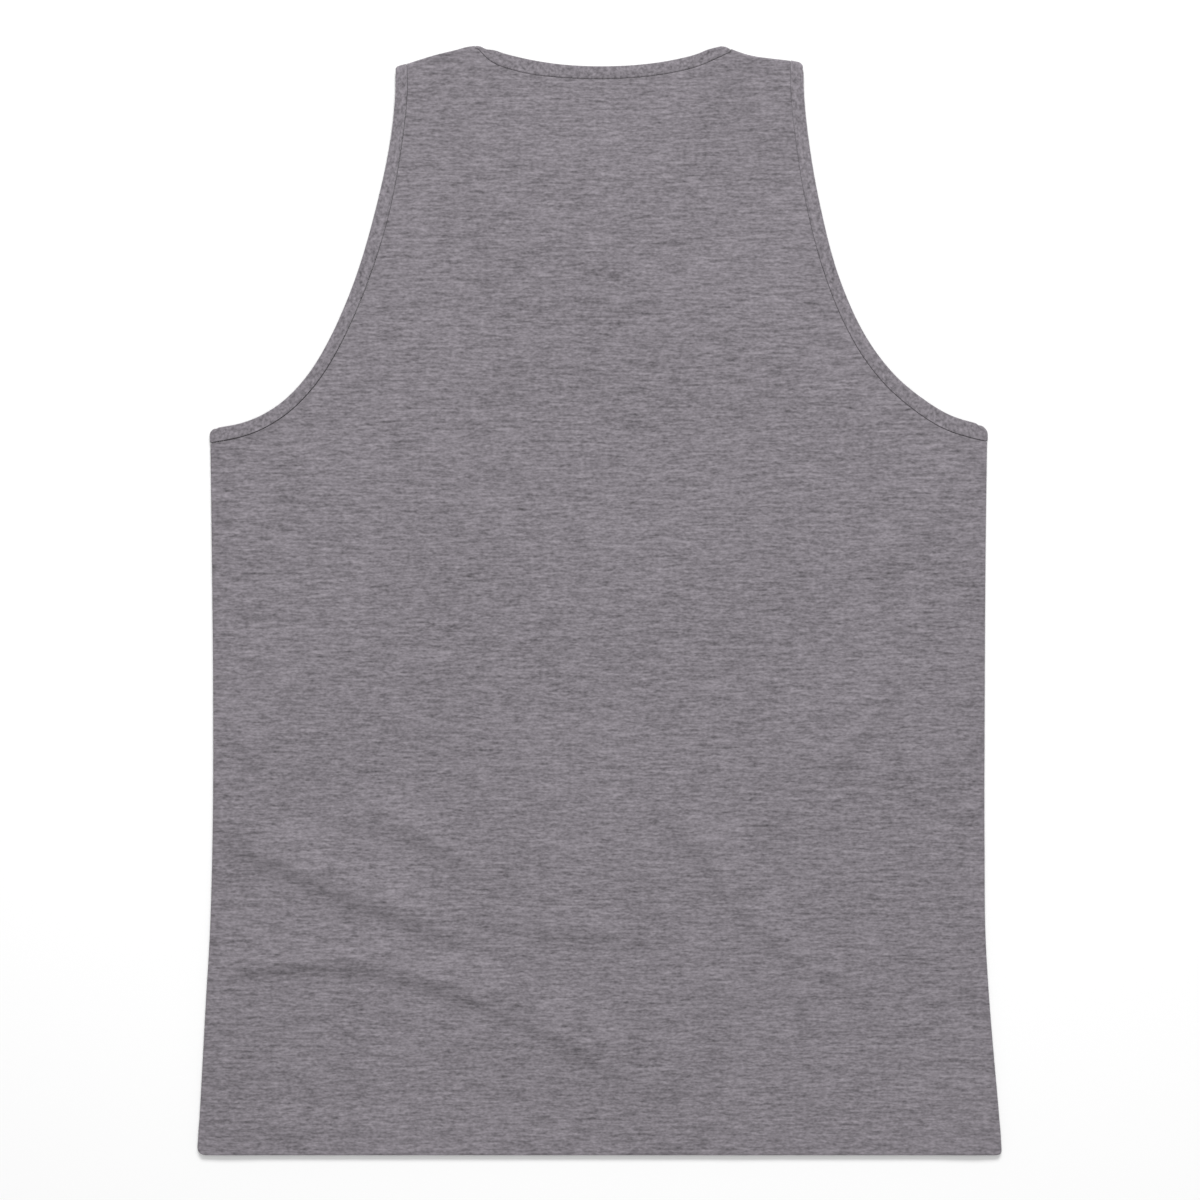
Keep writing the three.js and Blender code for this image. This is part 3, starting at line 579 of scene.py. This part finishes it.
# A closed ring of sections: along the back, over one fold, along the front, over the other. A fold
# is its outward direction and the name of its corner, and turns the section by half a circle.
def bindingRing(name, back, front, endFold, startFold, flip):
    section = bindingSection()
    fromSeam = binding["usualWidth"] - section[:, 0]
    atSeam = fromSeam < binding["seamRound"] + 0.01
    lift = section[:, 1][None, :, None]
    wall = binding["wall"]

    def stripPoints(stations):
        edge, seam, along = stations["edge"], stations["seam"], stations["along"][:, None]
        roll = np.where(atSeam, stations["roll"][:, None] / binding["seamRound"], 1)
        share = 1 - roll * fromSeam / binding["usualWidth"]
        plan = edge[:, None] + (seam - edge)[:, None] * share[..., None]
        fromEdge = np.linalg.norm(seam - edge, axis=1)[:, None] * share
        for (outward, corner), fromFold in ((startFold, along), (endFold, along[-1] - along)):
            pull = cornerPull(binding["corner"][corner], fromEdge, fromFold)
            plan = plan - np.array(outward) * pull[..., None]
        return plan, fromEdge

    def flat(layer, stations):
        plan = stripPoints(stations)[0]
        middle, facing = layerPoints(layer, plan[..., 0], plan[..., 1], np.full(plan.shape[:2], wall))
        return middle + facing * (lift if layer == "back" else np.clip(lift, -wall / 2, wall / 2))

    def turned(stations, place, fold):
        outward, corner = fold
        angle = np.pi * np.arange(1, binding["turnSteps"]) / binding["turnSteps"]
        facing = np.stack([outward[0] * np.sin(angle), outward[1] * np.sin(angle), np.cos(angle)], axis=1)
        plan, fromEdge = (part[place] for part in stripPoints(stations))
        height = wall / 2 + foldRadius + relief("back", plan[:, 0], plan[:, 1]) / 2
        centre = np.concatenate([plan, height[:, None]], axis=1)[None]
        sizes = binding["corner"][corner]
        tuck = sizes["tuck"] * ease(1 - fromEdge / sizes["tuckReach"])
        radius = foldRadius - tuck[:, None] * (1, 1, 0)
        return centre + facing[:, None] * (radius + lift)

    rings = np.concatenate([
        flat("back", back),
        turned(back, -1, endFold),
        flat("front", front)[::-1],
        turned(back, 0, startFold)[::-1],
    ])
    count, width = rings.shape[:2]
    index = np.arange(count * width).reshape(count, width)
    after, beside = np.roll(index, -1, axis=0), np.roll(index, -1, axis=1)
    faces = np.stack([index, after, np.roll(after, -1, axis=1), beside], axis=-1).reshape(-1, 4)
    if flip:
        faces = faces[:, ::-1]
    middleOf = rings.mean(axis=1)
    along = np.concatenate([[0], np.cumsum(np.linalg.norm(np.diff(middleOf, axis=0), axis=1))])
    uv = np.stack([np.repeat(along, width), np.tile(section[:, 0], count)], axis=1)
    return makeMesh(name, rings.reshape(-1, 3), faces.tolist(), uv), along[-1]


heather = {
    "color": (0.204, 0.187, 0.207),
    "roughness": 0.92,
    "specular": 0.25,
    "sheen": 0.12,
    "sheenRoughness": 0.6,
    # Noise layers: size of a fleck along and up the cloth in millimetres, and how much it shades.
    # Each layer is moved on by "shift", so that no two coincide.
    "flecks": [
        {"along": 2.7, "up": 1.5, "shade": 0.52, "detail": 1},
        {"along": 8, "up": 1.6, "shade": 0.60, "detail": 2},
        {"along": 21, "up": 2.2, "shade": 0.34, "detail": 1},
        {"along": 34, "up": 8, "shade": 0.12, "detail": 1},
        {"along": 130, "up": 80, "shade": 0.05, "detail": 0},
    ],
    "bandFlecks": [
        {"along": 1.8, "up": 1.6, "shade": 0.66, "detail": 2},
        {"along": 3.4, "up": 2.8, "shade": 0.66, "detail": 1},
        {"along": 26, "up": 16, "shade": 0.1, "detail": 0},
    ],
    "depthScale": 60,
    "noiseRoughness": 0.6,
    "shift": (3.1, 7.7),
    "waleWidth": 0.9,
    "courseHeight": 0.7,
    "stitchRise": 0.4,
    "grooveDepth": 0.6,
    "fuzz": {"scale": 900.0, "detail": 3.0, "rise": 1.4},
    "knitDepth": 0.035,
}


# A node with its settings; an input is linked where it is a socket and set where it is a value.
def addNode(tree, kind, inputs=None, **settings):
    node = tree.nodes.new(kind)
    for key, value in settings.items():
        setattr(node, key, value)
    for key, value in (inputs or {}).items():
        if isinstance(value, bpy.types.NodeSocket):
            tree.links.new(value, node.inputs[key])
        else:
            node.inputs[key].default_value = value
    return node


def mathNode(tree, operation, first, second=0.0):
    return addNode(tree, "ShaderNodeMath", {0: first, 1: second}, operation=operation).outputs[0]


# Heather jersey. Shade: one plus each noise less a half, times twice its share. Height: a sine up
# the courses that leans to and fro across each wale, less a cosine groove between wales, and fuzz.
def jerseyMaterial(name, flecks, coordinates):
    material = bpy.data.materials.new(name)
    material.use_nodes = True
    tree = material.node_tree
    shader = tree.nodes["Principled BSDF"]
    place = addNode(tree, "ShaderNodeTexCoord").outputs["Object"]
    if coordinates == "strip":
        place = addNode(tree, "ShaderNodeUVMap", uv_map="strip").outputs[0]

    shade = 1.0
    for number, fleck in enumerate(flecks):
        scale = (1 / (fleck["along"] * mm), 1 / (fleck["up"] * mm), heather["depthScale"])
        shift = (heather["shift"][0] * number, heather["shift"][1] * number, 0)
        stretch = {"Vector": place, "Scale": scale, "Location": shift}
        stretched = addNode(tree, "ShaderNodeMapping", stretch)
        noise = addNode(tree, "ShaderNodeTexNoise", {
            "Vector": stretched.outputs[0],
            "Scale": 1.0,
            "Detail": fleck["detail"],
            "Roughness": heather["noiseRoughness"],
        })
        centred = mathNode(tree, "SUBTRACT", noise.outputs[0], 0.5)
        shade = mathNode(tree, "ADD", mathNode(tree, "MULTIPLY", centred, 2 * fleck["shade"]), shade)
    color = addNode(tree, "ShaderNodeVectorMath", {0: heather["color"]}, operation="SCALE")
    tree.links.new(shade, color.inputs["Scale"])
    tree.links.new(color.outputs[0], shader.inputs["Base Color"])

    split = addNode(tree, "ShaderNodeSeparateXYZ", {0: place})
    wale = mathNode(tree, "DIVIDE", split.outputs[0], heather["waleWidth"] * mm)
    lean = mathNode(tree, "ABSOLUTE", mathNode(tree, "SUBTRACT", mathNode(tree, "FRACT", wale), 0.5))
    course = mathNode(tree, "DIVIDE", split.outputs[1], heather["courseHeight"] * mm)
    phase = mathNode(tree, "MULTIPLY", mathNode(tree, "ADD", course, lean), 2 * np.pi)
    stitch = mathNode(tree, "MULTIPLY", mathNode(tree, "SINE", phase), heather["stitchRise"])
    betweenWales = mathNode(tree, "COSINE", mathNode(tree, "MULTIPLY", wale, 2 * np.pi))
    groove = mathNode(tree, "MULTIPLY", betweenWales, heather["grooveDepth"])
    fuzzSize = {"Vector": place, "Scale": heather["fuzz"]["scale"], "Detail": heather["fuzz"]["detail"]}
    fuzz = addNode(tree, "ShaderNodeTexNoise", fuzzSize).outputs[0]
    fuzz = mathNode(tree, "MULTIPLY", fuzz, heather["fuzz"]["rise"])
    height = mathNode(tree, "ADD", mathNode(tree, "SUBTRACT", stitch, groove), fuzz)
    depth = heather["knitDepth"] * mm
    bump = addNode(tree, "ShaderNodeBump", {"Height": height, "Distance": depth, "Strength": 1.0})
    tree.links.new(bump.outputs[0], shader.inputs["Normal"])
    shader.inputs["Roughness"].default_value = heather["roughness"]
    shader.inputs["Specular IOR Level"].default_value = heather["specular"]
    shader.inputs["Sheen Weight"].default_value = heather["sheen"]
    shader.inputs["Sheen Roughness"].default_value = heather["sheenRoughness"]
    return material


jersey = jerseyMaterial("heatherJersey", heather["flecks"], "object")
bindingCloth = jerseyMaterial("heatherBinding", heather["bandFlecks"], "strip")
print("materials made")


# Material, body, replaced node and slot of a finished piece.
def finishPiece(piece, node, material):
    piece.data.materials.append(material)
    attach(piece, "root")
    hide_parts(node)


necks, arms = {}, {}
for layer in ("back", "front"):
    necks[layer] = neckStations(layer)
    arms[layer] = {side: armholeStations(layer, side) for side in ("left", "right")}

frontPanel = panel("frontPanel", "front", necks["front"], arms["front"])
finishPiece(frontPanel, "front_panel", jersey)
print("front panel made")
backPanel = panel("backPanel", "back", necks["back"], arms["back"])
finishPiece(backPanel, "back_panel", jersey)
print("back panel made")

neckFolds = []
for side in ("right", "left"):
    outward = shoulderDirections(side, neckline["end"][side] + binding["foldRead"]["neck"])[1]
    neckFolds.append((outward, "neck" + side.capitalize()))
neckBand, neckLength = bindingRing("neckBand", necks["back"], necks["front"], *neckFolds, True)
finishPiece(neckBand, "neck_band", bindingCloth)
for side in ("left", "right"):
    name = "armholeBand" + side.capitalize()
    strapRead = armhole["strapEnd"][side] - binding["foldRead"]["strap"]
    folds = [
        (shoulderDirections(side, strapRead)[1], side + "Strap"),
        ((-1 if side == "left" else 1, 0), side + "Underarm"),
    ]
    ring, length = bindingRing(name, arms["back"][side], arms["front"][side], *folds, side == "left")
    finishPiece(ring, "armhole_band_" + side, bindingCloth)
print("bindings made")

studio = {                   # in metres and watts
    "floor": {"size": 24.0, "level": -0.0003, "color": (0.95, 0.95, 0.95), "roughness": 0.9},
    "sky": {"color": (1.0, 1.0, 1.0), "strength": 0.34},
    "window": {"place": (0.3, 3.9, 3.4), "size": (3.0, 1.6), "power": 211.0},
    "ceiling": {"place": (0.0, 0.1, 2.6), "size": (2.0, 2.0), "power": 23.0},
    "camera": {"lens": 85, "sensor": 36, "frameWidth": 0.7846},
}


# A rectangular light that faces the garment's middle.
def areaLight(name, place, size, power):
    light = bpy.data.lights.new(name, "AREA")
    light.shape = "RECTANGLE"
    light.size, light.size_y = size
    light.energy = power
    lamp = bpy.data.objects.new(name, light)
    bpy.context.collection.objects.link(lamp)
    lamp.location = place
    lamp.rotation_euler = (-lamp.location).to_track_quat("-Z", "Y").to_euler()


reach, level = studio["floor"]["size"] / 2, studio["floor"]["level"]
floorMesh = bpy.data.meshes.new("floor")
floorCorners = [(reach * x, reach * y, level) for x, y in ((-1, -1), (1, -1), (1, 1), (-1, 1))]
floorMesh.from_pydata(floorCorners, [], [(0, 1, 2, 3)])
floor = bpy.data.objects.new("floor", floorMesh)
bpy.context.collection.objects.link(floor)
floorPaper = bpy.data.materials.new("palePaper")
floorPaper.use_nodes = True
paperShader = floorPaper.node_tree.nodes["Principled BSDF"]
paperShader.inputs["Base Color"].default_value = (*studio["floor"]["color"], 1)
paperShader.inputs["Roughness"].default_value = studio["floor"]["roughness"]
floorMesh.materials.append(floorPaper)

world = bpy.data.worlds.new("studio")
bpy.context.scene.world = world
world.use_nodes = True
sky = world.node_tree.nodes["Background"]
sky.inputs["Color"].default_value = (*studio["sky"]["color"], 1)
sky.inputs["Strength"].default_value = studio["sky"]["strength"]
for lampName in ("window", "ceiling"):
    areaLight(lampName, **studio[lampName])

eye = studio["camera"]
cameraData = bpy.data.cameras.new("camera")
cameraData.lens = eye["lens"]
cameraData.sensor_width = eye["sensor"]
camera = bpy.data.objects.new("camera", cameraData)
bpy.context.collection.objects.link(camera)
cameraHeight = eye["frameWidth"] * eye["lens"] / eye["sensor"] + garment["layerRise"] * mm
camera.location = (0, 0, cameraHeight)
bpy.context.scene.camera = camera
bpy.context.scene.view_settings.view_transform = "Standard"
print("floor, light and camera set")
